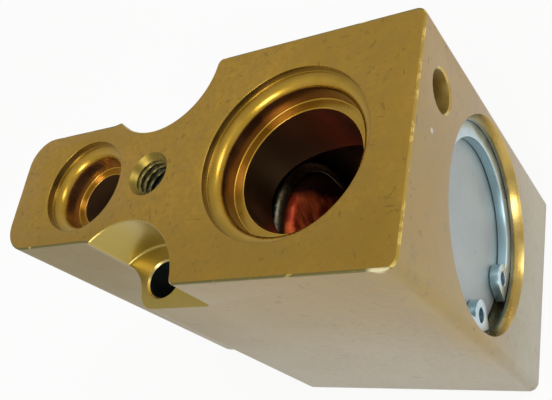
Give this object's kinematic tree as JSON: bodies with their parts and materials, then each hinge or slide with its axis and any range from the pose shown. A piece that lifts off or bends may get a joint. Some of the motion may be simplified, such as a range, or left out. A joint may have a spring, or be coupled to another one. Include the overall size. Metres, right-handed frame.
{
  "type": "thermostatic expansion valve",
  "caption": "Block-type expansion valve with stepped pipe ports, bolt-head pockets and an internal thermal head behind a cap held by a circlip.",
  "frame": {"origin": "middle of the rear port face, which is the bottom of the part as it lies", "axes": "+X along the valve axis from the narrow adjusting-screw end to the end cap, +Z out of the port face, +Y to the side of the blind hole in the cap end"},
  "size_m": [0.066, 0.0332, 0.0512],
  "materials": {
    "gold_chromate": "gold chromated aluminium, matte and finely pitted",
    "zinc_plate": "pale grey zinc plate, matte",
    "spring_steel": "blue-grey spring steel, satin",
    "dark_steel": "dark steel, satin",
    "copper": "pressed copper-coloured shell, satin",
    "bright_steel": "stainless steel, satin",
    "seal_rubber": "black O-ring rubber"
  },
  "bodies": {
    "valve": {"valve_block": "gold_chromate", "end_cap": "zinc_plate", "end_cap_oring": "seal_rubber", "snap_ring": "spring_steel", "head_lower_housing": "dark_steel", "head_upper_shell": "copper", "head_diaphragm": "bright_steel", "charge_plug": "bright_steel", "head_oring": "seal_rubber", "rod_oring": "seal_rubber", "rod_oring_retainer": "bright_steel", "superheat_spring": "spring_steel"},
    "stem": {"pressure_pad": "bright_steel", "push_rod": "bright_steel", "valve_ball": "bright_steel", "ball_carrier": "bright_steel", "damping_clip": "bright_steel"},
    "screw_seal": {"adjusting_screw_oring": "seal_rubber"},
    "screw": {"adjusting_screw": "bright_steel"}
  },
  "joints": [
    {"name": "stem_slide", "type": "slide", "parent": "valve", "child": "stem", "axis": [-1, 0, 0], "range_m": [0, 0.0006], "stiffness_N_per_m": 40, "springref_m": -0.002, "deforming": ["superheat_spring"]},
    {"name": "screw_travel", "type": "slide", "parent": "valve", "child": "screw_seal", "axis": [1, 0, 0], "range_m": [-0.00076, 0.00076], "deforming": ["superheat_spring"]},
    {"name": "screw_turn", "type": "hinge", "parent": "screw_seal", "child": "screw", "pos_m": [-0.0285, 0, 0.0256], "axis": [1, 0, 0], "range_deg": [-270, 270]}
  ],
  "couplings": [
    {"joint": "screw_travel", "follows": "screw_turn", "m_per_rad": 0.00015915}
  ]
}
